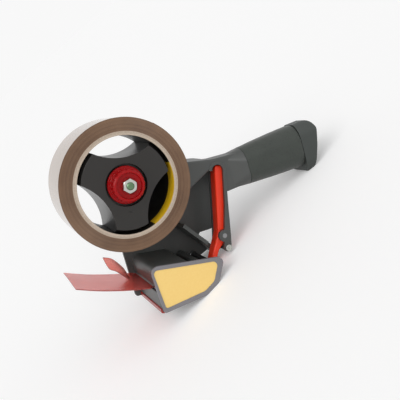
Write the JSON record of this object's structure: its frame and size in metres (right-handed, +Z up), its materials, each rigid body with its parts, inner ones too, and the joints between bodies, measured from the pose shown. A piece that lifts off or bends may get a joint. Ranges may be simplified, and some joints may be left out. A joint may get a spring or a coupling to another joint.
{
  "type": "packaging tape dispenser",
  "caption": "Hand-held pistol-grip packaging tape dispenser with a loaded tape roll on a braked hub, a trigger-worked retractable blade, a press roller and a flexible wiper.",
  "frame": {"origin": "middle of the footprint on the table, with the dispenser set down on its heel and its butt", "axes": "+X from the wiper towards the butt of the handle, +Y along the tape axis away from the brake knob, +Z up"},
  "size_m": [0.241, 0.072, 0.1616],
  "materials": {
    "dark_grey_abs": "satin moulded",
    "mid_grey_abs": "satin moulded",
    "yellow_vinyl": "matt printed film",
    "zinc_steel": "bright zinc",
    "spring_steel": "drawn",
    "blade_steel": "ground",
    "foam_rubber": "fine cell skin",
    "natural_nylon": "moulded",
    "fibre_washer": "pressed fibre",
    "red_abs": "gloss moulded",
    "greyboard": "wound board",
    "brown_tape": "wound film",
    "black_acetal": "moulded",
    "black_rubber": "ground",
    "red_film": "translucent flexible sheet"
  },
  "bodies": {
    "frame": {"frame_main": "dark_grey_abs", "frame_near": "dark_grey_abs", "side_panel": "mid_grey_abs", "side_sticker": "yellow_vinyl", "panel_screws": "zinc_steel", "frame_screws": "zinc_steel", "foam_grip": "foam_rubber", "butt_cap": "dark_grey_abs", "axle_bolt": "zinc_steel", "axle_sleeve": "natural_nylon", "friction_washer": "fibre_washer", "pressure_washer": "zinc_steel", "brake_spring": "spring_steel", "trigger_pin": "spring_steel", "carrier_pins": "spring_steel", "return_spring": "spring_steel", "roller_axle": "spring_steel", "wiper": "red_film", "wiper_clamp": "black_acetal", "wiper_rivets": "zinc_steel", "lip_guard": "red_abs"},
    "hub": {"hub": "dark_grey_abs"},
    "roll": {"tape_core": "greyboard", "tape_winding": "brown_tape"},
    "thrust": {"thrust_washer": "zinc_steel"},
    "knob": {"brake_knob": "red_abs", "knob_nut": "zinc_steel"},
    "trigger": {"trigger": "red_abs"},
    "carrier": {"blade_carrier": "black_acetal", "blade": "blade_steel", "blade_rivets": "zinc_steel"},
    "roller": {"roller_sleeve": "black_rubber", "roller_core": "natural_nylon"}
  },
  "joints": [
    {"name": "hub_spin", "type": "hinge", "parent": "frame", "child": "hub", "pos_m": [-0.03858, 0, 0.11], "axis": [0, 1, 0], "continuous": true},
    {"name": "roll_load", "type": "slide", "parent": "hub", "child": "roll", "axis": [0, -1, 0], "range_m": [0, 0.062]},
    {"name": "thrust_slide", "type": "slide", "parent": "frame", "child": "thrust", "axis": [0, 1, 0], "range_m": [-0.00101, 0.00101], "deforming": ["brake_spring"]},
    {"name": "knob_turn", "type": "hinge", "parent": "thrust", "child": "knob", "pos_m": [-0.03858, 0, 0.11], "axis": [0, 1, 0], "range_deg": [-360, 360]},
    {"name": "trigger_pull", "type": "hinge", "parent": "frame", "child": "trigger", "pos_m": [-0.00456, 0, 0.01528], "axis": [0, 1, 0], "range_deg": [0, 6.5], "stiffness_Nm_per_rad": 0.35, "springref_deg": -20.05},
    {"name": "blade_swing", "type": "hinge", "parent": "frame", "child": "carrier", "pos_m": [-0.04945, 0, 0.00617], "axis": [0, -1, 0], "range_deg": [0, 8.54], "deforming": ["return_spring"]},
    {"name": "roller_spin", "type": "hinge", "parent": "frame", "child": "roller", "pos_m": [-0.06759, 0, 0.01596], "axis": [0, 1, 0], "continuous": true}
  ],
  "couplings": [
    {"joint": "thrust_slide", "follows": "knob_turn", "m_per_rad": 0.00015915},
    {"joint": "blade_swing", "follows": "trigger_pull", "ratio": 1.31}
  ]
}
